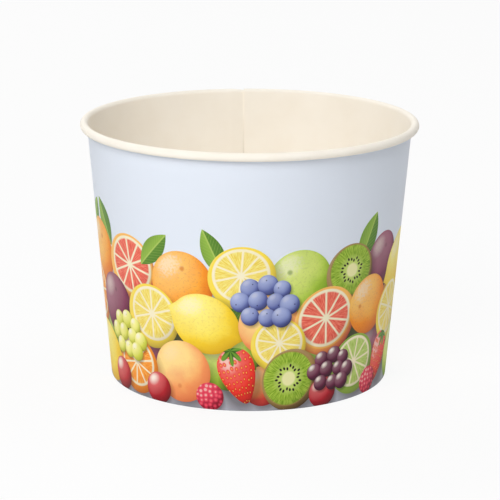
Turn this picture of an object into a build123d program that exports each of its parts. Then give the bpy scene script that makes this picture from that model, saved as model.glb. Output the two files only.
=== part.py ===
from build123d import *
import os
from math import acos, asin, atan2, cos, degrees, hypot, sin

# A paper dessert cup: a printed board wall, lapped and sealed down one side, rolled outwards at
# the rim and folded in at the foot around the flange of a board bottom.
# Lengths are in millimetres and angles in degrees. +Z is up. The origin is on the axis, in the
# plane that the cup stands on, and the side seam is at the back, on +Y.

# Overall sizes
rim_diameter = 98.0
base_diameter = 81.0
cup_height = 75.5

# Thickness of the two boards
side_board = 0.36
bottom_board = 0.32

# Rolled rim: the outer radius of its section, how far it turns before it tightens, how tight it
# then is, and how far its cut edge stays from the doubled wall of the seam
bead_radius = 1.2
first_turn = 225.0
tightening_share = 0.75
curl_clearance = 0.15

# Bottom: its height above the foot, the bend into its flange, and how far the flange stays above
# the fold of the foot and the hem below the bend
recess_depth = 5.5
bottom_bend_radius = 1.0
flange_clearance = 0.4
hem_clearance = 0.3
fold_pressed = 0.1

# Side seam: where the inner end of the board stops, how far the outer end laps it, the length over
# which the outer end then drops back to the line of the wall, and how much sooner it stops in the
# roll of the rim
seam_angle = 92.1
lap_width = 7.0
drop_length = 4.0
lap_setback = 5.0

# The bends in the board are drawn as rings of short flats. How many each bend has:
roll_flat_count = 5
curl_flat_count = 2
fold_flat_count = 3
flange_flat_count = 2

quarter_turn = 90
half_turn = 180
full_turn = 360

# The line of the wall runs from the foot to the roll of the rim, and touches both
rim_radius = rim_diameter / 2
roll_centre = Vector(rim_radius - bead_radius, cup_height - bead_radius)
foot = Vector(base_diameter / 2, 0)
rise = roll_centre - foot
wall_angle = atan2(rise.X, rise.Y) - asin((bead_radius - side_board) / hypot(rise.X, rise.Y))
up_wall = Vector(sin(wall_angle), cos(wall_angle))
off_wall = Vector(cos(wall_angle), -sin(wall_angle))


def on_wall(distance, height):
    """The point at a height on a line along the wall, a distance outwards from the flange's middle"""
    start = foot + off_wall * (distance - side_board - bottom_board / 2)
    return start + up_wall * ((height - start.Y) / up_wall.Y)


def bend(centre, start, turn, flats):
    """The corners of a bend about a centre, from where it starts"""
    return [centre + (start - centre).rotate(Axis.Z, turn * flat / flats) for flat in range(flats + 1)]


# The foot folds about a point on the flange's middle line, and is pressed flat where it stands
fold_radius = bottom_board / 2
fold_centre = on_wall(0, fold_radius + side_board - fold_pressed)
hem_height = recess_depth - bottom_bend_radius - hem_clearance

# The roll of the rim tightens, and ends where its cut edge comes near the doubled wall
curl_radius = bead_radius * tightening_share
turned = (-off_wall).rotate(Axis.Z, -first_turn)
curl_centre = roll_centre + turned * (bead_radius - curl_radius)
doubled_wall = off_wall * (2 * side_board + curl_clearance - bead_radius)
tip_reach = (curl_centre - roll_centre - doubled_wall).dot(off_wall)
second_turn = full_turn - first_turn - degrees(acos(tip_reach / curl_radius))


def board_face(depth, setback):
    """The corners of the wall's board from its hem to its curl, a depth behind the coated face"""
    hem_edge = on_wall(-fold_radius - depth, hem_height)
    hem_side = fold_centre - off_wall * (fold_radius + depth)
    wall_top = roll_centre - off_wall * (bead_radius - depth)
    roll_end = curl_centre + turned * (curl_radius - depth)
    fold = bend(fold_centre, hem_side, half_turn, fold_flat_count)
    roll = bend(roll_centre, wall_top, -first_turn, roll_flat_count)
    curl = bend(curl_centre, roll_end, setback - second_turn, curl_flat_count)
    return [hem_edge] + fold + roll + curl[1:]


def board_section(angle, depth, setback):
    """The section of one layer of the wall's board at an angle about the axis, with its coated face
    at a depth, and stopping a setback short of the full curl"""
    coated = board_face(depth, setback)
    printed = board_face(depth + side_board, setback)
    with BuildSketch(Plane.XZ.rotated((0, 0, angle))) as section:
        with BuildLine():
            Polyline(coated + printed[::-1], close=True)
        make_face()
    return section.sketch


# Sidewall: the board goes once round, laps its own start, and drops back to it beyond the lap
lap_start = seam_angle - degrees(lap_width / rim_radius)
drop_end = seam_angle + degrees(drop_length / rim_radius)

once_round = board_section(drop_end, 0, 0)
lap = board_section(lap_start, side_board, lap_setback)
lap_end = board_section(seam_angle, side_board, lap_setback)

with BuildPart() as sidewall:
    revolve(once_round, Axis.Z, full_turn - drop_end + seam_angle)
    revolve(lap, Axis.Z, seam_angle - lap_start)
    loft([lap_end, once_round], ruled=True)
    split(bisect_by=Plane.XY, keep=Keep.TOP)
sidewall.part.label = "sidewall"

# Bottom: a disc drawn down at its edge into a flange, which fills the slot between wall and hem
floor_height = recess_depth + bottom_board
flange_foot = fold_centre.Y + flange_clearance
flange_turn = quarter_turn + degrees(wall_angle)
bend_centre = on_wall(-fold_radius - bottom_bend_radius, recess_depth - bottom_bend_radius)
above_centre = Vector(bend_centre.X, recess_depth)

with BuildPart() as bottom:
    with BuildSketch(Plane.XZ):
        with BuildLine():
            underside = bend(bend_centre, above_centre, -flange_turn, flange_flat_count)
            top = bend(bend_centre, above_centre + (0, bottom_board), -flange_turn, flange_flat_count)
            flange_edge = [on_wall(-fold_radius, flange_foot), on_wall(fold_radius, flange_foot)]
            axis_ends = [(0, floor_height), (0, recess_depth)]
            Polyline(underside + flange_edge + top[::-1] + axis_ends, close=True)
        make_face()
    revolve(axis=Axis.Z)
bottom.part.label = "bottom"

os.makedirs("parts", exist_ok=True)
for piece in (sidewall.part, bottom.part):
    export_step(piece, f"parts/{piece.label}.step")
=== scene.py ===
from collections import namedtuple
from math import acos, asin, atan2, cos, pi, radians, sin, tau

import bmesh
import bpy
from mathutils import Matrix, Vector


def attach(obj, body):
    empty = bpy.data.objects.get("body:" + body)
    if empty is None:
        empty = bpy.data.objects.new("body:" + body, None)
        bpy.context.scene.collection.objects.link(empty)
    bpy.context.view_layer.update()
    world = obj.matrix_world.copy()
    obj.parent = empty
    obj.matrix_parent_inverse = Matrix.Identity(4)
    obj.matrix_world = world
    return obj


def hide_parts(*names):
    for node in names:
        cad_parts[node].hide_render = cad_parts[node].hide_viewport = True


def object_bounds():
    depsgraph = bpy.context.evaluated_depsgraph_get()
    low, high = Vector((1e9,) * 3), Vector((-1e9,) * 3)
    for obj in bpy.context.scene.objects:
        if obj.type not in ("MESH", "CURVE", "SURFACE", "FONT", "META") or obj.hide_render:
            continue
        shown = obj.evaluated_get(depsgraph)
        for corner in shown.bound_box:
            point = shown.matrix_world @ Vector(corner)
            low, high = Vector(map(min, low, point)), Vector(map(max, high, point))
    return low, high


# A paper dessert cup: a printed board wall, lapped down the back, rolled at the rim and folded in
# at the foot round a board bottom. Lengths are in metres, and +Z is up the cup's axis.
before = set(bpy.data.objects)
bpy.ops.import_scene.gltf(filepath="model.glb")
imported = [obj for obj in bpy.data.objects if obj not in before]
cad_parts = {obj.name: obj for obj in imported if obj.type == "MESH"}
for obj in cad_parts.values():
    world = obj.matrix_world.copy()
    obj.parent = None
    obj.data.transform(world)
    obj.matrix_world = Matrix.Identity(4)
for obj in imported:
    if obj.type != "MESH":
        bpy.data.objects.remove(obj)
cad_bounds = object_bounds()

# Camera: it looks down on the cup at about 14 degrees, from seven rim widths away through a long
# lens. The picture's middle lies a little beside the cup's, and the view leans by a quarter of a
# degree. Pixels are those of the photograph.
_, high = cad_bounds
rim_radius = high.x
cup_height = high.z
photo_side_px = 500
photo_middle_px = Vector((249.01, 245.18))
focal_length_px = 2339
camera_elevation = radians(14.31)
camera_lean = radians(0.255)
rim_widths_away = 7
camera_distance = rim_widths_away * 2 * rim_radius
film_width = 36

camera = bpy.data.objects.new("camera", bpy.data.cameras.new("camera"))
camera_back = Vector((0, -cos(camera_elevation), sin(camera_elevation)))
camera.location = Vector((0, 0, cup_height / 2)) + camera_back * camera_distance
camera.rotation_mode = "QUATERNION"
level_view = (-camera_back).to_track_quat("-Z", "Y")
camera.rotation_quaternion = level_view @ Matrix.Rotation(camera_lean, 3, "Z").to_quaternion()
camera.data.sensor_width = film_width
camera.data.lens = focal_length_px / photo_side_px * film_width
camera.data.shift_x = 0.5 - photo_middle_px.x / photo_side_px
camera.data.shift_y = photo_middle_px.y / photo_side_px - 0.5
bpy.context.scene.collection.objects.link(camera)
bpy.context.scene.camera = camera

# Board wall: one fan-shaped blank of board, printed and varnished on one face and coated on the
# other. It is wrapped into a cone with its ends lapped and sealed, rolled outwards at the top and
# folded in at the foot, where a toothed wheel presses it onto the flange of the bottom.
mm = 0.001
base_radius = 40.5 * mm
board = 0.36 * mm
bottom_board = 0.32 * mm
front_angle = radians(270)

# Rolled rim: its section's outer radius, how far it turns before it tightens, how tight it then is,
# and how far its cut edge stays from the doubled wall of the seam
bead_radius = 1.2 * mm
first_turn = radians(225)
tightening_share = 0.75
curl_clearance = 0.15 * mm

# Foot: how high the bottom sits, the bend into its flange, how far the hem stays below that bend,
# and how far the fold is pressed flat
recess_depth = 5.5 * mm
bottom_bend_radius = 1.0 * mm
hem_clearance = 0.3 * mm
fold_pressed = 0.1 * mm

# Side seam: where the board's inner end is, how far the outer end laps it, the length over which the
# outer end then drops back to the line of the wall, and how much sooner it stops in the roll
seam_angle = radians(92.1)
lap_width = 7.0 * mm
drop_length = 4.0 * mm
lap_setback = radians(5)

# The line of the wall runs from the foot to the roll of the rim, and touches both
roll_centre = Vector((rim_radius - bead_radius, cup_height - bead_radius))
foot = Vector((base_radius, 0))
rise = roll_centre - foot
wall_angle = atan2(rise.x, rise.y) - asin((bead_radius - board) / rise.length)
up_wall = Vector((sin(wall_angle), cos(wall_angle)))
off_wall = Vector((cos(wall_angle), -sin(wall_angle)))


def on_wall(distance, height):
    """The point at a height on a line along the wall, a distance outwards from the flange's middle"""
    start = foot + off_wall * (distance - board - bottom_board / 2)
    return start + up_wall * ((height - start.y) / up_wall.y)


def straight(start, end, steps):
    """Points along a straight stretch, from its start to just before its end"""
    return [start.lerp(end, step / steps) for step in range(steps)]


def bend(centre, start, turn, steps):
    """Points along a bend about a centre, from its start to just before its end"""
    return [centre + Matrix.Rotation(turn * step / steps, 2) @ (start - centre) for step in range(steps)]


# The foot folds about a point on the flange's middle line. The roll of the rim tightens, and ends
# where its cut edge comes near the doubled wall.
fold_radius = bottom_board / 2
fold_centre = on_wall(0, fold_radius + board - fold_pressed)
hem_height = recess_depth - bottom_bend_radius - hem_clearance
curl_radius = bead_radius * tightening_share
turned = Matrix.Rotation(-first_turn, 2) @ -off_wall
curl_centre = roll_centre + turned * (bead_radius - curl_radius)
doubled_wall = off_wall * (2 * board + curl_clearance - bead_radius)
tip_reach = (curl_centre - roll_centre - doubled_wall).dot(off_wall)
second_turn = tau - first_turn - acos(tip_reach / curl_radius)

hem_steps, fold_steps, wall_steps, roll_steps, curl_steps = 4, 10, 22, 26, 10


def board_face(depth, setback):
    """Points from the hem to the curl's edge, a depth behind the coated face"""
    hem_edge = on_wall(-fold_radius - depth, hem_height)
    hem_side = fold_centre - off_wall * (fold_radius + depth)
    wall_foot = fold_centre + off_wall * (fold_radius + depth)
    wall_top = roll_centre - off_wall * (bead_radius - depth)
    roll_end = curl_centre + turned * (curl_radius - depth)
    last_turn = setback - second_turn
    tip = curl_centre + Matrix.Rotation(last_turn, 2) @ (roll_end - curl_centre)
    return (
        straight(hem_edge, hem_side, hem_steps)
        + bend(fold_centre, hem_side, pi, fold_steps)
        + straight(wall_foot, wall_top, wall_steps)
        + bend(roll_centre, wall_top, -first_turn, roll_steps)
        + bend(curl_centre, roll_end, last_turn, curl_steps)
        + [tip]
    )


def swept(start, end, steps):
    """Stations along the board: angles about the axis, each with how far the board is lifted there"""
    (from_angle, from_lift), (to_angle, to_lift) = start, end
    return [
        (
            from_angle + (to_angle - from_angle) * step / steps,
            from_lift + (to_lift - from_lift) * step / steps,
        )
        for step in range(1, steps + 1)
    ]


# The board starts at its inner end, goes once round, climbs over its own start and laps it. Each
# station has its angle, and the share of the board's thickness by which the lap lifts it.
once_round = seam_angle + tau
lap_start = seam_angle - lap_width / rim_radius
drop_end = seam_angle + drop_length / rim_radius
round_steps, drop_steps, lap_steps = 480, 6, 10
stations = [(once_round, 0.0)]
stations += swept((once_round, 0.0), (drop_end, 0.0), round_steps)
stations += swept((drop_end, 0.0), (seam_angle, 1.0), drop_steps)
stations += swept((seam_angle, 1.0), (lap_start, 1.0), lap_steps)

# The toothed wheel leaves low ridges on the hem
ridge_count = 120
ridge_depth = 0.06 * mm
hem_count = hem_steps + 1

# The pressed fold is flat where it stands, and its inner layer stays just clear of the floor
least_gap = 0.01 * mm


def placed(point, angle, height_least):
    """A point of the section, turned to its place round the axis and kept above the floor"""
    return Vector((point.x * cos(angle), point.x * sin(angle), max(point.y, height_least)))


def ring(angle, lift):
    """The coated face's points and the printed face's, at an angle and lifted by this share"""
    coated = board_face(lift * board, lift * lap_setback)
    printed = board_face((lift + 1) * board, lift * lap_setback)
    ridge = off_wall * (ridge_depth * (cos(ridge_count * angle) - 1) / 2)
    for face in (coated, printed):
        face[:hem_count] = [point + ridge for point in face[:hem_count]]
    coated = [placed(point, angle, least_gap) for point in coated]
    printed = [placed(point, angle, 0) for point in printed]
    return coated, printed


rings = [ring(angle, lift) for angle, lift in stations]
points_across = len(rings[0][0])

# Two maps lie on the board. The blank's map is the board laid flat, in millimetres: how far round
# from the front, and how far up from the foot. The other lays the faces out in bands, with none
# over another.
mean_radius = (base_radius + rim_radius) / 2
flat_face = board_face(board, 0)
run = [0.0]
for start, end in zip(flat_face, flat_face[1:]):
    run.append(run[-1] + (end - start).length)
foot_run = run[hem_steps + fold_steps // 2]
sharp_angle = radians(50)


def on_blank(station, index):
    """Where a point lies on the flat blank, in millimetres"""
    angle, _ = stations[station]
    return ((angle - front_angle) * mean_radius / mm, (run[index] - foot_run) / mm)


class Shell:
    """Faces of a piece as they are made, each with its corners, its finish and its two maps"""

    def __init__(self):
        self.points = []
        self.faces = []
        self.finishes = []
        self.blank = []
        self.layout = []

    def add(self, corners, finish, blank, layout):
        """One face, with the numbers of its points, its finish's number and its places on the maps"""
        self.faces.append(corners)
        self.finishes.append(finish)
        self.blank += blank
        self.layout += layout

    def build(self, name, finishes):
        """The piece as an object, with its finishes, its maps and its normals outwards"""
        mesh = bpy.data.meshes.new(name)
        mesh.from_pydata(self.points, [], self.faces)
        mesh.polygons.foreach_set("material_index", self.finishes)
        for map_name, places in (("blank", self.blank), ("OFBake", self.layout)):
            layer = mesh.uv_layers.new(name=map_name, do_init=False)
            layer.uv.foreach_set("vector", [number for place in places for number in place])
        for finish in finishes:
            mesh.materials.append(finish)
        form = bmesh.new()
        form.from_mesh(mesh)
        bmesh.ops.recalc_face_normals(form, faces=form.faces)
        form.to_mesh(mesh)
        form.free()
        mesh.shade_smooth()
        mesh.set_sharp_from_angle(angle=sharp_angle)
        piece = bpy.data.objects.new(name, mesh)
        bpy.context.scene.collection.objects.link(piece)
        return piece


COATED, PRINTED, CUT = range(3)
wall_shell = Shell()
for coated, printed in rings:
    wall_shell.points += coated + printed

# The layout's bands, each from a share of its height to another: the printed face in two halves,
# the coated face, and the cut edges of the hem, of the curl and of the board's two ends
printed_shares = ((0.0, 0.385), (0.39, 0.775))
coated_shares = (0.78, 0.965)
hem_edge_shares, curl_edge_shares = (0.968, 0.974), (0.976, 0.982)
first_end_shares, last_end_shares = (0.984, 0.990), (0.992, 0.998)
last_station = len(stations) - 1
last_index = points_across - 1
half_way = last_station // 2


def in_band(band, across, along):
    """A place in one of the layout's bands"""
    foot_share, top_share = band
    return (along, foot_share + (top_share - foot_share) * across)


def corner(station, face, index):
    """The number of a point of the wall: its ring, its face and its place across the board"""
    return (station * 2 + face) * points_across + index


for station in range(last_station):
    half = 0 if station < half_way else 1
    printed_ends = (0, half_way) if half == 0 else (half_way, last_station)
    for index in range(last_index):
        patch = ((station, index), (station, index + 1), (station + 1, index + 1), (station + 1, index))
        blank = [on_blank(*place) for place in patch]
        for face, band, (first, last) in (
            (COATED, coated_shares, (0, last_station)),
            (PRINTED, printed_shares[half], printed_ends),
        ):
            corners = [corner(along, face, across) for along, across in patch]
            layout = [
                in_band(band, run[across] / run[-1], (along - first) / (last - first))
                for along, across in patch
            ]
            wall_shell.add(corners, face, blank, layout)
    for index, band in ((0, hem_edge_shares), (last_index, curl_edge_shares)):
        patch = ((station, COATED), (station, PRINTED), (station + 1, PRINTED), (station + 1, COATED))
        corners = [corner(along, face, index) for along, face in patch]
        blank = [on_blank(along, index) for along, _ in patch]
        layout = [in_band(band, face, along / last_station) for along, face in patch]
        wall_shell.add(corners, CUT, blank, layout)
for station, band in ((0, first_end_shares), (last_station, last_end_shares)):
    for index in range(last_index):
        patch = ((COATED, index), (PRINTED, index), (PRINTED, index + 1), (COATED, index + 1))
        corners = [corner(station, face, across) for face, across in patch]
        blank = [on_blank(station, across) for _, across in patch]
        layout = [in_band(band, face, run[across] / run[-1]) for face, across in patch]
        wall_shell.add(corners, CUT, blank, layout)


def paint(red, green, blue):
    """A colour as it looks on a screen, from 0 to 1, as the shader takes it"""
    foot, slope, lift, power = 0.04045, 12.92, 0.055, 2.4
    parts = (red, green, blue)
    light = [part / slope if part <= foot else ((part + lift) / (1 + lift)) ** power for part in parts]
    return (*light, 1)


def node(tree, kind, inputs=(), **settings):
    """A new node with its settings, and with a value or a link on each of these inputs"""
    made = tree.nodes.new("ShaderNode" + kind)
    for name, value in settings.items():
        setattr(made, name, value)
    for name, value in dict(inputs).items():
        if isinstance(value, bpy.types.NodeSocket):
            tree.links.new(value, made.inputs[name])
        else:
            made.inputs[name].default_value = value
    return made


def maths(tree, operation, *values):
    """The result of a sum on numbers"""
    return node(tree, "Math", enumerate(values), operation=operation).outputs[0]


def vectors(tree, operation, *values):
    """The result of a sum on vectors, which is a number for a length or a dot product"""
    made = node(tree, "VectorMath", enumerate(values), operation=operation)
    return made.outputs["Value" if operation in ("LENGTH", "DOT_PRODUCT") else "Vector"]


def parts_of(tree, vector):
    """The three numbers of a vector"""
    return [vectors(tree, "DOT_PRODUCT", vector, axis) for axis in Matrix.Identity(3)]


# Where a Mix node takes its two values and gives its result, for each kind of value
mix_sockets = {"FLOAT": (2, 3, 0), "VECTOR": (4, 5, 1), "RGBA": (6, 7, 2)}


def mixed(tree, share, under, over, kind="RGBA", blend_type="MIX"):
    """One colour laid over another by a share, or one number or vector over another"""
    first, second, result = mix_sockets[kind]
    inputs = {0: share, first: under, second: over}
    return node(tree, "Mix", inputs, data_type=kind, blend_type=blend_type).outputs[result]


def ramped(tree, value, start, end, to_start=0.0, to_end=1.0):
    """A value taken from one range to another, and held at its ends"""
    inputs = {"Value": value, "From Min": start, "From Max": end, "To Min": to_start, "To Max": to_end}
    return node(tree, "MapRange", inputs).outputs[0]


def new_group(name, inputs, outputs):
    """An empty node group with these sockets, the sockets to read from and those to fill"""
    group = bpy.data.node_groups.new(name, "ShaderNodeTree")
    for direction, sockets in (("INPUT", inputs), ("OUTPUT", outputs)):
        for socket, kind in sockets.items():
            group.interface.new_socket(socket, in_out=direction, socket_type="NodeSocket" + kind)
    return group, group.nodes.new("NodeGroupInput").outputs, group.nodes.new("NodeGroupOutput").inputs


def fill(group, sockets, values):
    """Links the group's results to its outputs"""
    for name, value in values.items():
        group.links.new(value, sockets[name])


def use(tree, group, **inputs):
    """A group placed in a tree, with spaces for the underscores of its inputs' names"""
    made = tree.nodes.new("ShaderNodeGroup")
    made.node_tree = group
    for name, value in inputs.items():
        socket = made.inputs[name.replace("_", " ")]
        if isinstance(value, bpy.types.NodeSocket):
            tree.links.new(value, socket)
        else:
            socket.default_value = value
    return made


# Board fibre: the faint cloudiness of pressed pulp and the fine grain of its surface, for every
# finish of the board
cloud_scale, grain_scale, fibre_scale = 90, 900, 3500
fibre_share = 0.4
board_fibre, given, result = new_group(
    "board fibre", {"Grain": "Float", "Depth": "Float"}, {"Cloud": "Float", "Normal": "Vector"}
)
fibre_place = node(board_fibre, "TexCoord").outputs["Object"]
cloud = node(board_fibre, "TexNoise", {"Vector": fibre_place, "Scale": cloud_scale, "Detail": 3.0})
grain_size = maths(board_fibre, "MULTIPLY", given["Grain"], grain_scale)
grain = node(board_fibre, "TexNoise", {"Vector": fibre_place, "Scale": grain_size, "Detail": 2.0})
fibres = node(board_fibre, "TexNoise", {"Vector": fibre_place, "Scale": fibre_scale, "Detail": 1.0})
grain_height = maths(board_fibre, "MULTIPLY_ADD", fibres.outputs[0], fibre_share, grain.outputs[0])
bump = node(board_fibre, "Bump", {"Height": grain_height, "Distance": given["Depth"], "Strength": 1.0})
fill(board_fibre, result, {"Cloud": cloud.outputs[0], "Normal": bump.outputs["Normal"]})


def new_material(name):
    """A material with nothing but its output, its node tree and that output"""
    material = bpy.data.materials.new(name)
    material.use_nodes = True
    material.node_tree.nodes.clear()
    return material, material.node_tree, material.node_tree.nodes.new("ShaderNodeOutputMaterial")


# Seam shade: a fine painted shadow line where the board comes out from under its own end, and
# fainter painted shade spreading beside it. Both fade out below the rim.
shade_line_width, shade_spread_width = 0.5 * mm, 3.0 * mm
shade_line_overrun = 0.05 * mm
seam_shade_top, seam_shade_fade = 68 * mm, 14 * mm
shade_line_share, shade_spread_share = 0.20, 0.025
seam_shade_colour = paint(0.52, 0.46, 0.36)


def with_seam_shade(tree, cream):
    """The coated face's colour with painted shade along the seam's step on it"""
    place = node(tree, "TexCoord").outputs["Object"]
    beyond = vectors(tree, "DOT_PRODUCT", place, (-sin(seam_angle), cos(seam_angle), 0.0))
    _, behind, up = parts_of(tree, place)
    # A painted shadow line at the step, and fainter painted shade beside it, fading towards the rim
    line = ramped(tree, beyond, shade_line_width, shade_line_width / 2, 0.0, shade_line_share)
    shade_spread = ramped(tree, beyond, shade_spread_width, 0.0, 0.0, shade_spread_share)
    seam_shade = maths(tree, "ADD", line, shade_spread)
    for inside in (
        maths(tree, "GREATER_THAN", beyond, -shade_line_overrun),
        maths(tree, "GREATER_THAN", behind, 0.0),
        ramped(tree, up, seam_shade_top, seam_shade_top - seam_shade_fade),
    ):
        seam_shade = maths(tree, "MULTIPLY", seam_shade, inside)
    return mixed(tree, seam_shade, cream, seam_shade_colour)


cloud_range = (0.35, 0.65)
board_gloss = 0.2


def board_finish(name, light_cream, deep_cream, grain, depth, roughness, shade_seam=False):
    """A surface of the board without ink: faintly cloudy, with a soft gloss"""
    material, tree, output = new_material(name)
    fibre = use(tree, board_fibre, Grain=grain, Depth=depth)
    cream = mixed(tree, ramped(tree, fibre.outputs["Cloud"], *cloud_range), light_cream, deep_cream)
    # Painted shade along the seam's step, on the face that shows it
    if shade_seam:
        cream = with_seam_shade(tree, cream)
    inputs = {"Base Color": cream, "Normal": fibre.outputs["Normal"], "Roughness": roughness}
    inputs["Specular IOR Level"] = board_gloss
    shader = node(tree, "BsdfPrincipled", inputs)
    tree.links.new(shader.outputs[0], output.inputs["Surface"])
    return material


# The coated face has a clear film over cream board, and the cut edges are bare
film_look = {
    "light_cream": paint(0.985, 0.96, 0.915),
    "deep_cream": paint(0.975, 0.946, 0.895),
    "grain": 1.0,
    "depth": 0.004 * mm,
    "roughness": 0.55,
}
# The wall's film carries the painted shade at the seam
wall_film = board_finish("wall film", **film_look, shade_seam=True)
cut_edge = board_finish(
    "cut board edge",
    light_cream=paint(0.985, 0.965, 0.92),
    deep_cream=paint(0.955, 0.93, 0.875),
    grain=2.0,
    depth=0.02 * mm,
    roughness=0.9,
)

# Printed face: the flat board is printed and varnished before the blank is cut. Its ground is pale
# blue, and a heap of fruit along its lower part comes twice round the cup, a little out of step at
# the seam. Lengths on the print are in millimetres, and it repeats only round the cup.
times_round = 2
repeat_misfit = 0.8
repeat = (tau * mean_radius / mm + repeat_misfit) / times_round
above_print = 1000.0

# Node groups lay the fruits one over another, back to front. What they carry is the place on the
# uppermost fruit and its finish's number, its turn, and the shadow that falls on it. Places on a
# fruit are in shares of its half width and half height, from its middle.
shadow_step = (-0.16, 0.22, 0.0)
shadow_edge, shadow_blur = 1.20, 0.42
heart_taper, heart_middle = 0.30, 0.78
nub_width, nub_length = 0.42, 0.16
carried = {"Place": "Vector", "Turn": "Float", "Shadow": "Float"}
laying = {
    "Blank": "Vector",
    "Middle": "Vector",
    "Across": "Vector",
    "Up": "Vector",
    "Spread": "Vector",
    "Finish": "Float",
    "Own Turn": "Float",
}


def joined(tree, across, up, forward=0.0):
    """A vector from three numbers"""
    return node(tree, "CombineXYZ", {"X": across, "Y": up, "Z": forward}).outputs[0]


def squared(tree, value):
    """A number times itself"""
    return maths(tree, "MULTIPLY", value, value)


# Each shape gives how far across itself a place lies, and 1 where the place is on it
def within_ball(tree, across, up):
    """Round"""
    reach = maths(tree, "ADD", squared(tree, across), squared(tree, up))
    return across, maths(tree, "LESS_THAN", reach, 1.0)


def within_heart(tree, across, up):
    """Wide at the top and narrow at the tip"""
    half_width = maths(tree, "MULTIPLY_ADD", up, heart_taper, heart_middle)
    return within_ball(tree, maths(tree, "DIVIDE", across, half_width), up)


def within_leaf(tree, across, up):
    """Pointed at both ends"""
    half_width = maths(tree, "SUBTRACT", 1.0, squared(tree, up))
    return across, maths(tree, "LESS_THAN", maths(tree, "ABSOLUTE", across), half_width)


def within_lemon(tree, across, up):
    """Round, with a nub at each end"""
    nub = maths(tree, "MULTIPLY_ADD", maths(tree, "ABSOLUTE", up), -1 / nub_width, 1.0)
    nub = maths(tree, "MAXIMUM", nub, 0.0)
    drawn_in = maths(tree, "MULTIPLY_ADD", squared(tree, nub), -nub_length, 1.0)
    return within_ball(tree, maths(tree, "MULTIPLY", across, drawn_in), up)


def laid_group(name, within):
    """The group that lays one fruit of a shape over the heap"""
    group, given, result = new_group(name, {**carried, **laying}, carried)
    offset = vectors(group, "SUBTRACT", given["Blank"], given["Middle"])
    half_repeat = Vector((repeat / 2, above_print, 1.0))
    offset = vectors(group, "WRAP", offset, half_repeat, -half_repeat)
    across = vectors(group, "DOT_PRODUCT", offset, given["Across"])
    up = vectors(group, "DOT_PRODUCT", offset, given["Up"])
    across, inside = within(group, across, up)
    own_place = joined(group, across, up, given["Finish"])
    place = mixed(group, inside, given["Place"], own_place, "VECTOR")
    turn = mixed(group, inside, given["Turn"], given["Own Turn"], "FLOAT")
    away = vectors(group, "LENGTH", vectors(group, "MULTIPLY_ADD", offset, given["Spread"], shadow_step))
    thrown = maths(group, "MULTIPLY_ADD", away, -1 / shadow_blur, shadow_edge / shadow_blur)
    shadow = maths(group, "MAXIMUM", given["Shadow"], thrown)
    shadow = maths(group, "MULTIPLY", shadow, maths(group, "SUBTRACT", 1.0, inside))
    fill(group, result, {"Place": place, "Turn": turn, "Shadow": shadow})
    return group


ball = laid_group("ball laid on", within_ball)
heart = laid_group("heart laid on", within_heart)
leaf = laid_group("leaf laid on", within_leaf)
oval = laid_group("lemon laid on", within_lemon)

# Finishes, in the order of their numbers: each one's shape, how it is drawn, three colours in
# hundredths of red, green and blue, and how pitted and how glossy its skin is and how deep its
# button. The colours run from the lit side to the dark side for a whole fruit, and are rind, flesh
# and juice for a citrus half. Finishes that are drawn alike stand together.
Finish = namedtuple("Finish", "shape drawn first second third pores gloss button")
finishes = {
    "orange": Finish(ball, "whole", (100, 76, 30), (97, 58, 12), (80, 36, 4), 0.3, 0.5, 0.6),
    "apricot": Finish(ball, "whole", (100, 85, 50), (96, 60, 36), (84, 42, 24), 0.08, 0.25, 0.5),
    "lemon": Finish(oval, "whole", (100, 94, 42), (97, 82, 16), (82, 62, 6), 0.22, 0.5, 0.0),
    "lime": Finish(ball, "whole", (84, 90, 42), (62, 76, 20), (34, 48, 8), 0.2, 0.5, 0.6),
    "nectarine": Finish(ball, "whole", (99, 72, 38), (86, 28, 22), (54, 8, 12), 0.05, 0.45, 0.5),
    "cherry": Finish(ball, "whole", (84, 18, 24), (64, 5, 12), (32, 1, 6), 0.02, 0.9, 0.0),
    "fig": Finish(ball, "whole", (60, 26, 40), (42, 11, 26), (17, 3, 11), 0.05, 0.45, 0.3),
    "blueberry": Finish(ball, "whole", (58, 64, 84), (34, 38, 63), (12, 12, 28), 0.04, 0.3, 0.8),
    "white currant": Finish(ball, "whole", (98, 96, 56), (84, 85, 30), (58, 58, 12), 0.02, 0.8, 0.4),
    "blackcurrant": Finish(ball, "whole", (48, 16, 32), (32, 8, 20), (13, 2, 8), 0.02, 0.85, 0.0),
    "orange half": Finish(ball, "citrus", (96, 58, 14), (99, 72, 30), (95, 52, 12), 0.2, 0.3, 0.0),
    "lemon half": Finish(ball, "citrus", (97, 86, 28), (98, 93, 56), (93, 81, 30), 0.2, 0.3, 0.0),
    "lime half": Finish(ball, "citrus", (55, 70, 22), (83, 89, 55), (65, 77, 32), 0.2, 0.3, 0.0),
    "grapefruit half": Finish(ball, "citrus", (98, 74, 36), (97, 55, 44), (89, 32, 27), 0.2, 0.3, 0.0),
    "kiwi half": Finish(ball, "kiwi", (64, 51, 30), (69, 80, 28), (38, 28, 14), 0.3, 0.1, 0.0),
    "raspberry": Finish(ball, "raspberry", (90, 24, 35), (90, 24, 35), (52, 5, 16), 0.0, 0.45, 0.0),
    "strawberry": Finish(heart, "strawberry", (92, 19, 14), (86, 12, 12), (60, 4, 5), 0.0, 0.6, 0.0),
    "leaf": Finish(leaf, "leaf", (55, 70, 26), (35, 53, 17), (22, 37, 11), 0.0, 0.0, 0.0),
}
finish_names = list(finishes)

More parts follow.
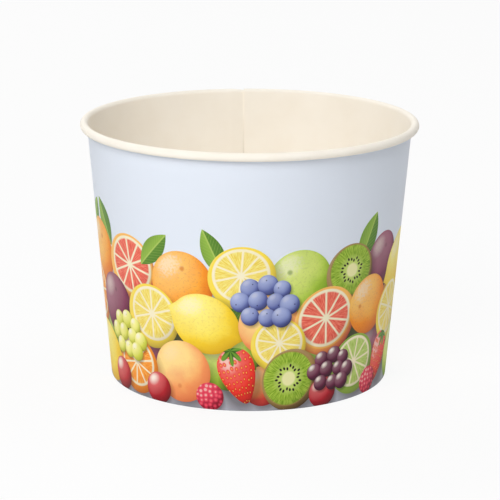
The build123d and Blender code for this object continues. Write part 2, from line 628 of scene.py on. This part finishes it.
# The heap, from its back to its front: each fruit's finish, its middle across from the front and up
# from the foot, half its width and half its height, and its turn in degrees
heap = [
    ("leaf", (-62, 49), (3.6, 8.0), -32),
    ("leaf", (-52, 50), (3.6, 7.5), 30),
    ("leaf", (-10, 47), (3.2, 7.5), 24),
    ("leaf", (38, 48), (3.6, 8.0), -24),
    ("leaf", (-5, 28), (4.5, 8.0), 12),
    ("leaf", (21, 16), (4.5, 6.5), 60),
    ("fig", (-30, 16), (7.0, 6.5), 0),
    ("lime", (-54, 19), (6.5, 6.0), 0),
    ("nectarine", (67, 18), (7.5, 7.0), 0),
    ("orange", (52, 32), (6.5, 6.0), 0),
    ("nectarine", (4, 8), (6.0, 6.0), 0),
    ("lime", (-6, 15), (8.5, 8.5), 0),
    ("fig", (45, 14), (7.5, 7.5), 0),
    ("orange", (-58, 40), (9.8, 9.8), 10),
    ("grapefruit half", (-39, 39), (10.4, 9.8), -12),
    ("leaf", (-29, 46), (3.2, 7.0), -44),
    ("orange", (-20, 37), (9.8, 9.8), 24),
    ("lime", (15, 38), (9.8, 9.8), 75),
    ("lemon half", (-2, 40), (9.8, 9.2), 14),
    ("fig", (47, 40), (8.2, 8.6), 15),
    ("kiwi half", (32, 39), (9.0, 8.6), -8),
    ("lemon", (61, 37), (11.0, 8.8), 20),
    ("orange half", (-65, 26), (9.8, 9.4), 8),
    ("fig", (-49, 26), (9.2, 9.2), 20),
    ("lemon half", (-31, 26), (9.8, 9.4), -18),
    ("lemon", (-13, 26), (10.6, 8.6), -20),
    ("apricot", (6, 26), (9.0, 9.0), 30),
    ("grapefruit half", (24, 26), (10.6, 10.0), 22),
    ("lemon half", (9, 20), (8.4, 8.0), -10),
    ("orange", (41, 28), (8.8, 8.8), 120),
    ("lemon half", (56, 23), (9.8, 9.4), 16),
    ("lemon", (-59, 9.5), (11.4, 8.6), -14),
    ("apricot", (-21, 11), (9.4, 9.2), 200),
    ("orange half", (-39, 10), (9.2, 8.8), 12),
    ("strawberry", (-3, 11), (6.8, 8.6), 18),
    ("lime half", (36, 11), (9.4, 9.0), 10),
    ("kiwi half", (13, 9.5), (9.4, 8.8), 60),
    ("strawberry", (50, 10), (6.4, 7.8), -24),
    ("lime", (64, 9), (8.6, 8.2), 50),
    ("cherry", (-48, 5.2), (5.0, 4.9), 0),
    ("cherry", (-30, 4.6), (4.9, 4.7), 50),
    ("raspberry", (-12, 4.4), (4.4, 4.2), 0),
    ("raspberry", (44, 4.4), (4.3, 4.1), 0),
    ("cherry", (24, 4.6), (4.8, 4.6), 20),
]

# Bunches of berries, each laid as so many balls about a middle. The steps are in shares of a pitch,
# which is a share of the berry's radius. Size and turn differ a little from berry to berry.
bunch_steps = ((-1.0, 0.9), (0.1, 1.1), (1.0, 0.8), (-1.6, 0.0), (-0.5, 0.1), (0.6, 0.0), (1.5, -0.2))
bunch_steps += ((-1.0, -0.9), (0.1, -1.0), (1.0, -1.0))
pitch_share, swell_share, swell_step, berry_turn = 1.65, 0.08, 2.3, 50
bunches = (
    ("blueberry", (5, 33), 2.8),
    ("white currant", (-43, 18), 2.6),
    ("blackcurrant", (27, 11), 2.4),
)
for kind, (bunch_across, bunch_up), berry_radius in bunches:
    pitch = berry_radius * pitch_share
    for number, (across, up) in enumerate(bunch_steps):
        size = berry_radius * (1.0 + swell_share * sin(number * swell_step))
        middle = (bunch_across + across * pitch, bunch_up + up * pitch)
        heap.append((kind, middle, (size, size), number * berry_turn))

# The print's own tree: the fruits laid one by one on bare board
printed_board, tree, print_output = new_material("printed board")
raw_map = node(tree, "UVMap", uv_map="blank").outputs[0]
blank_map = vectors(tree, "MULTIPLY", raw_map, (1.0, 1.0, 0.0))
bare = -1.0
place, turn, shadow = joined(tree, 0.0, 0.0, bare), 0.0, 0.0
for kind, middle, (half_width, half_height), degrees_turned in heap:
    own_turn = radians(degrees_turned)
    laid = use(
        tree,
        finishes[kind].shape,
        Place=place,
        Turn=turn,
        Shadow=shadow,
        Blank=blank_map,
        Middle=(*middle, 0.0),
        Across=(cos(own_turn) / half_width, sin(own_turn) / half_width, 0.0),
        Up=(-sin(own_turn) / half_height, cos(own_turn) / half_height, 0.0),
        Spread=(1.0 / half_width, 1.0 / (half_width if kind == "leaf" else half_height), 0.0),
        Finish=float(finish_names.index(kind)),
        Own_Turn=own_turn,
    )
    place, turn, shadow = (laid.outputs[name] for name in carried)

# The colours and the skin of the uppermost fruit, from its finish's number, by ramps that have room
# for 32 stops
place_across, place_up, finish_number = parts_of(tree, place)
ramp_room = 32
ramp_place = maths(tree, "DIVIDE", maths(tree, "ADD", finish_number, 0.5), ramp_room)


def by_finish(values):
    """The colour that each finish has at its number, on a ramp that starts with two stops"""
    made = node(tree, "ValToRGB", {0: ramp_place})
    made.color_ramp.interpolation = "CONSTANT"
    stops = made.color_ramp.elements
    for number, value in enumerate(values):
        stop = stops[number] if number < 2 else stops.new(number / ramp_room)
        stop.position = number / ramp_room
        stop.color = value
    return made.outputs[0]


def inks(colours):
    """One of the three colours of each finish"""
    return by_finish([paint(*(part / 100 for part in colour)) for colour in colours])


first_ink = inks([finish.first for finish in finishes.values()])
second_ink = inks([finish.second for finish in finishes.values()])
third_ink = inks([finish.third for finish in finishes.values()])
traits = by_finish([(finish.pores, finish.gloss, finish.button, 1.0) for finish in finishes.values()])
skin_pores, skin_gloss, skin_button = node(tree, "SeparateColor", {0: traits}).outputs

# The light on a fruit, which comes from its upper left and from the front
light_across = (-0.42, 0.58, 0.0)
light_forward = 0.70
local = vectors(tree, "MULTIPLY", place, (1.0, 1.0, 0.0))
reach = vectors(tree, "LENGTH", local)
upright = node(tree, "VectorRotate", {"Vector": local, "Angle": turn}, rotation_type="Z_AXIS").outputs[0]
bulge = maths(tree, "SQRT", maths(tree, "SUBTRACT", 1.0, squared(tree, reach)))
from_side = vectors(tree, "DOT_PRODUCT", upright, light_across)
lit = maths(tree, "MULTIPLY_ADD", bulge, light_forward, from_side)

highlight = paint(1.0, 0.98, 0.93)
shade = paint(0.34, 0.27, 0.26)
body_range = (-0.62, 0.36)
sheen_range, sheen_share = (0.35, 1.0), 0.12
spot_range, spot_power = (0.76, 1.0), 2.0


def shaded(light, deep, skin, gloss):
    """A skin from its dark side to its lit side, with a sheen and a highlight"""
    colour = mixed(tree, ramped(tree, light, *body_range), deep, skin)
    sheen = maths(tree, "MULTIPLY", ramped(tree, light, *sheen_range), sheen_share)
    spot = maths(tree, "POWER", ramped(tree, light, *spot_range), spot_power)
    spot = maths(tree, "MULTIPLY", spot, gloss)
    return mixed(tree, maths(tree, "MAXIMUM", sheen, spot), colour, highlight)


# Whole fruit: pores, a skin whose colour drifts, and the button where the stalk was
pore_scale, drift_scale, drift_strength = 1.5, 0.11, 1.6
drift_range, pit_range = (0.10, 0.98), (0.52, 0.66)
button_middle, button_range = (0.25, 0.42, 0.0), (0.10, 0.04)
pores = node(tree, "TexNoise", {"Vector": raw_map, "Scale": pore_scale, "Detail": 2.0}).outputs[0]
pitted = maths(tree, "MULTIPLY_ADD", maths(tree, "SUBTRACT", pores, 0.5), skin_pores, lit)
drift = node(tree, "TexNoise", {"Vector": raw_map, "Scale": drift_scale, "Detail": 3.0}).outputs[0]
drifted = maths(tree, "MULTIPLY_ADD", maths(tree, "SUBTRACT", drift, 0.5), drift_strength, pitted)
skin = mixed(tree, ramped(tree, drifted, *drift_range), second_ink, first_ink)
pits = maths(tree, "MULTIPLY", ramped(tree, pores, *pit_range), skin_pores)
whole = shaded(pitted, third_ink, mixed(tree, pits, skin, third_ink), skin_gloss)
button = vectors(tree, "LENGTH", vectors(tree, "SUBTRACT", local, button_middle))
button = maths(tree, "MULTIPLY", ramped(tree, button, *button_range), skin_button)
whole = mixed(tree, button, whole, third_ink)

# Halved fruit: the cut face with streaked flesh, and the skin as a crescent below it
cut_middle, cut_share = (0.0, 0.09, 0.0), 0.90
streak_count, streak_scale = 5.0, 4.0
crescent = shaded(pitted, third_ink, first_ink, skin_gloss)
face = vectors(tree, "SUBTRACT", local, cut_middle)
face = vectors(tree, "MULTIPLY", face, (1 / cut_share, 1 / cut_share, 0.0))
face_reach = vectors(tree, "LENGTH", face)
face_across, face_up, _ = parts_of(tree, face)
face_angle = maths(tree, "ARCTAN2", face_up, face_across)
on_face = maths(tree, "LESS_THAN", face_reach, 1.0)
streak_place = joined(tree, maths(tree, "MULTIPLY", face_angle, streak_count), face_reach)
streaks = node(tree, "TexNoise", {"Vector": streak_place, "Scale": streak_scale, "Detail": 2.0}).outputs[0]

# Citrus half: segments in thin skins, white pith and a coloured rind
segment_count = 10
side_range, outer_range, inner_range = (0.030, 0.075), (0.87, 0.82), (0.07, 0.14)
flesh_range, rind_range = (0.38, 0.66), (0.925, 0.955)
pith = paint(0.97, 0.93, 0.80)
segment = maths(tree, "FRACT", maths(tree, "MULTIPLY", face_angle, segment_count / tau))
from_skin = maths(tree, "MULTIPLY", maths(tree, "PINGPONG", segment, 0.5), face_reach)
in_segment = ramped(tree, from_skin, *side_range)
in_segment = maths(tree, "MULTIPLY", in_segment, ramped(tree, face_reach, *outer_range))
in_segment = maths(tree, "MULTIPLY", in_segment, ramped(tree, face_reach, *inner_range))
flesh = mixed(tree, ramped(tree, streaks, *flesh_range), third_ink, second_ink)
citrus = mixed(tree, in_segment, pith, flesh)
citrus = mixed(tree, ramped(tree, face_reach, *rind_range), citrus, first_ink)

# Kiwi half: green flesh that pales towards a cream core, a ring of seeds and a brown skin
kiwi_deep, kiwi_pale = paint(0.44, 0.60, 0.10), paint(0.76, 0.84, 0.42)
kiwi_core, kiwi_seed = paint(0.93, 0.92, 0.68), paint(0.10, 0.08, 0.06)
streak_range, pale_range, core_range, skin_range = (0.35, 0.65), (0.62, 0.36), (0.30, 0.22), (0.93, 0.98)
seed_count, seed_ring, seed_stagger, seed_swing = 22, 0.42, 0.06, 2.1
seed_slimness, seed_shortness, seed_range = 6.0, 14.0, (1.0, 0.7)
kiwi = mixed(tree, ramped(tree, streaks, *streak_range), kiwi_deep, second_ink)
kiwi = mixed(tree, ramped(tree, face_reach, *pale_range), kiwi, kiwi_pale)
kiwi = mixed(tree, ramped(tree, face_reach, *core_range), kiwi, kiwi_core)
seed_place = maths(tree, "MULTIPLY", face_angle, seed_count / tau)
seed_side = maths(tree, "SUBTRACT", maths(tree, "FRACT", seed_place), 0.5)
seed_side = maths(tree, "MULTIPLY", maths(tree, "MULTIPLY", seed_side, face_reach), seed_slimness)
stagger = maths(tree, "SINE", maths(tree, "MULTIPLY", maths(tree, "FLOOR", seed_place), seed_swing))
seed_up = maths(tree, "SUBTRACT", face_reach, seed_ring)
seed_up = maths(tree, "MULTIPLY_ADD", stagger, -seed_stagger, seed_up)
seed_up = maths(tree, "MULTIPLY", seed_up, seed_shortness)
from_seed = vectors(tree, "LENGTH", joined(tree, seed_side, seed_up))
kiwi = mixed(tree, ramped(tree, from_seed, *seed_range), kiwi, kiwi_seed)
kiwi = mixed(tree, ramped(tree, face_reach, *skin_range), kiwi, first_ink)


def dotted(vector, scale, disorder):
    """How far a place lies from the nearest of many dots"""
    inputs = {"Vector": vector, "Scale": scale, "Randomness": disorder}
    return node(tree, "TexVoronoi", inputs, voronoi_dimensions="2D").outputs["Distance"]


# Raspberry: a ball of small round drupes
drupe_scale, drupe_disorder = 2.9, 0.4
drupe_range, drupe_relief, raspberry_gloss = (0.12, 0.56), (0.38, -0.62), 0.45
swell = ramped(tree, dotted(upright, drupe_scale, drupe_disorder), *drupe_range, *drupe_relief)
raspberry = shaded(maths(tree, "ADD", lit, swell), third_ink, first_ink, raspberry_gloss)

# Strawberry: seeds in dimples and a leafy cap
pip_scale, pip_disorder, pip_range, pip_colour = 4.2, 0.35, (0.15, 0.09), paint(0.93, 0.74, 0.30)
dimple_range, dimple_relief, strawberry_gloss = (0.10, 0.42), (-0.35, 0.06), 0.55
cap_middle, cap_range, lobe_count, lobe_depth = (0.0, 0.92, 0.0), (0.42, 0.38), 7.0, 0.16
cap_deep, cap_light = paint(0.16, 0.34, 0.08), paint(0.42, 0.62, 0.18)
from_pip = dotted(local, pip_scale, pip_disorder)
dimple = ramped(tree, from_pip, *dimple_range, *dimple_relief)
strawberry = shaded(maths(tree, "ADD", lit, dimple), third_ink, first_ink, strawberry_gloss)
strawberry = mixed(tree, ramped(tree, from_pip, *pip_range), strawberry, pip_colour)
cap = vectors(tree, "SUBTRACT", local, cap_middle)
cap_across, cap_up, _ = parts_of(tree, cap)
cap_angle = maths(tree, "ARCTAN2", cap_up, cap_across)
lobes = maths(tree, "COSINE", maths(tree, "MULTIPLY", cap_angle, lobe_count))
cap_reach = maths(tree, "MULTIPLY_ADD", lobes, -lobe_depth, vectors(tree, "LENGTH", cap))
cap_green = mixed(tree, ramped(tree, lobes, -1.0, 1.0), cap_deep, cap_light)
strawberry = mixed(tree, ramped(tree, cap_reach, *cap_range), strawberry, cap_green)

# Leaf: a midrib and veins, and one half brighter than the other
vein_count, vein_slant, vein_range, vein_relief = 6.0, 0.5, (0.08, 0.02), (0.0, 0.5)
halves_range, midrib_range = (-0.04, 0.04), (0.09, 0.04)
margin_range, margin_relief = (0.2, 1.0), (0.0, 0.35)
rib_colour = paint(0.66, 0.76, 0.36)
side = maths(tree, "ABSOLUTE", place_across)
vein_place = maths(tree, "MULTIPLY", maths(tree, "MULTIPLY_ADD", side, -vein_slant, place_up), vein_count)
vein = ramped(tree, maths(tree, "PINGPONG", vein_place, 0.5), *vein_range, *vein_relief)
green = mixed(tree, ramped(tree, place_across, *halves_range), first_ink, second_ink)
green = mixed(tree, ramped(tree, side, *margin_range, *margin_relief), green, third_ink)
ribs = maths(tree, "MAXIMUM", vein, ramped(tree, side, *midrib_range))
green = mixed(tree, ribs, green, rib_colour)


def drawn_from(drawn, under, over):
    """The second colour from the first finish that is drawn this way, and the first before it"""
    first_number = [finish.drawn for finish in finishes.values()].index(drawn)
    return mixed(tree, maths(tree, "GREATER_THAN", finish_number, first_number - 0.5), under, over)


# The cut faces are shaded a little, and each fruit is drawn as its finish says
face_shade_range, face_shade_relief = (0.35, -0.55), (0.0, 0.55)
halved = drawn_from("kiwi", citrus, kiwi)
halved = mixed(tree, on_face, crescent, halved)
face_shade = ramped(tree, lit, *face_shade_range, *face_shade_relief)
halved = mixed(tree, face_shade, halved, shade, blend_type="MULTIPLY")
ink = drawn_from("citrus", whole, halved)
ink = drawn_from("raspberry", ink, raspberry)
ink = drawn_from("strawberry", ink, strawberry)
ink = drawn_from("leaf", ink, green)

# Ground round the heap: pale blue above, grey at the foot and dark green between the fruits. The
# shadow that they throw is strong on the heap and faint on the blue.
ground_blue, foot_grey = paint(0.880, 0.907, 0.949), paint(0.70, 0.71, 0.75)
gap_green = paint(0.30, 0.32, 0.18)
foot_range, heap_top_range, heap_foot_range = (4.0, 24.0), (38.0, 32.0), (4.0, 9.0)
clear_range, shadow_relief = (12.0, 34.0), (0.62, 0.14)
_, blank_up, _ = parts_of(tree, blank_map)
ground = mixed(tree, ramped(tree, blank_up, *foot_range), foot_grey, ground_blue)
in_heap = ramped(tree, blank_up, *heap_top_range)
in_heap = maths(tree, "MULTIPLY", in_heap, ramped(tree, blank_up, *heap_foot_range))
ground = mixed(tree, in_heap, ground, gap_green)
is_bare = maths(tree, "LESS_THAN", finish_number, bare / 2)
ink = mixed(tree, is_bare, ink, ground)
clear = maths(tree, "MULTIPLY", is_bare, ramped(tree, blank_up, *clear_range))
depth = ramped(tree, clear, 0.0, 1.0, *shadow_relief)
depth = maths(tree, "MULTIPLY", maths(tree, "MINIMUM", shadow, 1.0), depth)
ink = mixed(tree, depth, ink, shade, blend_type="MULTIPLY")

# The inks dry under a satin varnish
varnish_depth, varnish_roughness, varnish_gloss = 0.003 * mm, 0.45, 0.3
print_fibre = use(tree, board_fibre, Grain=1.0, Depth=varnish_depth)
inputs = {"Base Color": ink, "Normal": print_fibre.outputs["Normal"], "Roughness": varnish_roughness}
inputs["Specular IOR Level"] = varnish_gloss
print_shader = node(tree, "BsdfPrincipled", inputs)
tree.links.new(print_shader.outputs[0], print_output.inputs["Surface"])

sidewall = wall_shell.build("sidewall_board", (wall_film, printed_board, cut_edge))
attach(sidewall, "root")
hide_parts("sidewall")

# Bottom: a punched disc of board with a film on its top, drawn down at its edge into a flange. The
# flange sits between the wall and the hem and is sealed to both.
flange_clearance = 0.4 * mm
floor_height = recess_depth + bottom_board
flange_foot = fold_centre.y + flange_clearance
flange_turn = -pi / 2 - wall_angle
bend_centre = on_wall(-fold_radius - bottom_bend_radius, recess_depth - bottom_bend_radius)
above_centre = Vector((bend_centre.x, recess_depth))
bottom_steps, disc_steps, flange_bend_steps = 240, 6, 8


def bottom_face(depth, edge):
    """Points from the axis to the flange's edge, a depth above the underside"""
    start = above_centre + Vector((0, depth))
    middle = Vector((0, recess_depth + depth))
    flange_top = bend_centre + Matrix.Rotation(flange_turn, 2) @ (start - bend_centre)
    disc = straight(middle, start, disc_steps)
    return disc[1:] + bend(bend_centre, start, flange_turn, flange_bend_steps) + [flange_top, edge]


underside = bottom_face(0, on_wall(-fold_radius, flange_foot))
top_side = bottom_face(bottom_board, on_wall(fold_radius, flange_foot))
across_count = len(underside)
UNDER, TOP, FLANGE_EDGE = range(3)
bottom_shell = Shell()
bottom_shell.points = [Vector((0, 0, recess_depth)), Vector((0, 0, floor_height))]
for step in range(bottom_steps):
    angle = tau * step / bottom_steps
    bottom_shell.points += [placed(point, angle, 0) for point in underside + top_side]

# The bottom has no print, so one layout serves as both of its maps: a flat disc for each side
disc_middle_shares = ((0.25, 0.5), (0.75, 0.5))
disc_radius_share = 0.24
run_out = [0.0]
for start, end in zip(top_side, top_side[1:]):
    run_out.append(run_out[-1] + (end - start).length)
reach_shares = [(top_side[0].x + far) / (top_side[0].x + run_out[-1]) for far in run_out]


def flat_place(step, side, index):
    """Where a point of the bottom, or the middle of a side, lies in the layout"""
    angle = tau * step / bottom_steps
    middle_across, middle_up = disc_middle_shares[side]
    share = 0 if index is None else reach_shares[index] * disc_radius_share
    return (middle_across + share * cos(angle), middle_up + share * sin(angle))


def bottom_corner(step, side, index):
    """The number of a point of the bottom. The middles of its two sides come first."""
    if index is None:
        return side
    return 2 + (step % bottom_steps * 2 + side) * across_count + index


def add_to_bottom(places, finish):
    """One more face of the bottom"""
    layout = [flat_place(*place) for place in places]
    bottom_shell.add([bottom_corner(*place) for place in places], finish, layout, layout)


last_across = across_count - 1
for step in range(bottom_steps):
    after = step + 1
    for side in (UNDER, TOP):
        add_to_bottom(((step, side, None), (step, side, 0), (after, side, 0)), side)
        for index in range(last_across):
            beyond = index + 1
            patch = ((step, side, index), (step, side, beyond), (after, side, beyond), (after, side, index))
            add_to_bottom(patch, side)
    ends = [(step, UNDER), (step, TOP), (after, TOP), (after, UNDER)]
    add_to_bottom([(along, side, last_across) for along, side in ends], FLANGE_EDGE)

plain_board = board_finish(
    "plain board",
    light_cream=paint(0.93, 0.90, 0.84),
    deep_cream=paint(0.905, 0.87, 0.80),
    grain=1.5,
    depth=0.01 * mm,
    roughness=0.8,
)
disc_film = board_finish("disc film", **film_look)
bottom = bottom_shell.build("bottom_board", (plain_board, disc_film, cut_edge))
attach(bottom, "root")
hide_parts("bottom")

# Studio: a pale floor that the cup stands on, soft lamps, and white all round the cup in the
# picture. The floor shows mostly white there, and keeps a little of the cup's shadow.
half_floor = 3.0
white_share = 0.90
floor_mesh = bpy.data.meshes.new("floor")
floor_corners = [(x * half_floor, y * half_floor, 0) for x, y in ((-1, -1), (1, -1), (1, 1), (-1, 1))]
floor_mesh.from_pydata(floor_corners, [], [(0, 1, 2, 3)])
floor = bpy.data.objects.new("floor", floor_mesh)
bpy.context.scene.collection.objects.link(floor)
floor_finish, tree, output = new_material("pale floor")
seen_white = node(tree, "Emission", {"Color": (1, 1, 1, 1), "Strength": 1.0})
pale = node(tree, "BsdfDiffuse", {"Color": paint(0.93, 0.93, 0.93)})
seen = node(tree, "LightPath").outputs["Is Camera Ray"]
shown = maths(tree, "MULTIPLY", seen, white_share)
surface = node(tree, "MixShader", {0: shown, 1: pale.outputs[0], 2: seen_white.outputs[0]})
tree.links.new(surface.outputs[0], output.inputs["Surface"])
floor_mesh.materials.append(floor_finish)

lamp_side = 0.7
cup_middle = Vector((0, 0, cup_height / 2))


def lamp(name, place, power):
    """A square soft lamp that shines at the cup"""
    light = bpy.data.lights.new(name, "AREA")
    light.size = lamp_side
    light.energy = power
    made = bpy.data.objects.new(name, light)
    made.location = place
    made.rotation_mode = "QUATERNION"
    made.rotation_quaternion = (cup_middle - Vector(place)).to_track_quat("-Z", "Y")
    bpy.context.scene.collection.objects.link(made)


lamp("front lamp", (-0.36, -0.88, 0.76), 9.1)
lamp("left lamp", (-1.20, -0.40, 0.15), 0.4)
lamp("right lamp", (0.80, 0.25, 1.05), 2.9)
lamp("back lamp", (-0.50, 0.90, 0.90), 4.6)

# The world's light is soft and even on the cup, and a plain white to the camera and in gloss
soft_strength = 0.31
world = bpy.data.worlds.new("studio")
world.use_nodes = True
bpy.context.scene.world = world
tree = world.node_tree
tree.nodes.clear()
path = node(tree, "LightPath").outputs
sees_white = maths(tree, "MAXIMUM", path["Is Camera Ray"], path["Is Glossy Ray"])
sees_white = maths(tree, "MAXIMUM", sees_white, path["Is Transmission Ray"])
soft_light = node(tree, "Background", {"Color": (1, 1, 1, 1), "Strength": soft_strength})
white = node(tree, "Background", {"Color": (1, 1, 1, 1), "Strength": 1.0})
sky = node(tree, "MixShader", {0: sees_white, 1: soft_light.outputs[0], 2: white.outputs[0]})
world_output = tree.nodes.new("ShaderNodeOutputWorld")
tree.links.new(sky.outputs[0], world_output.inputs["Surface"])

bpy.context.scene.view_settings.view_transform = "Standard"
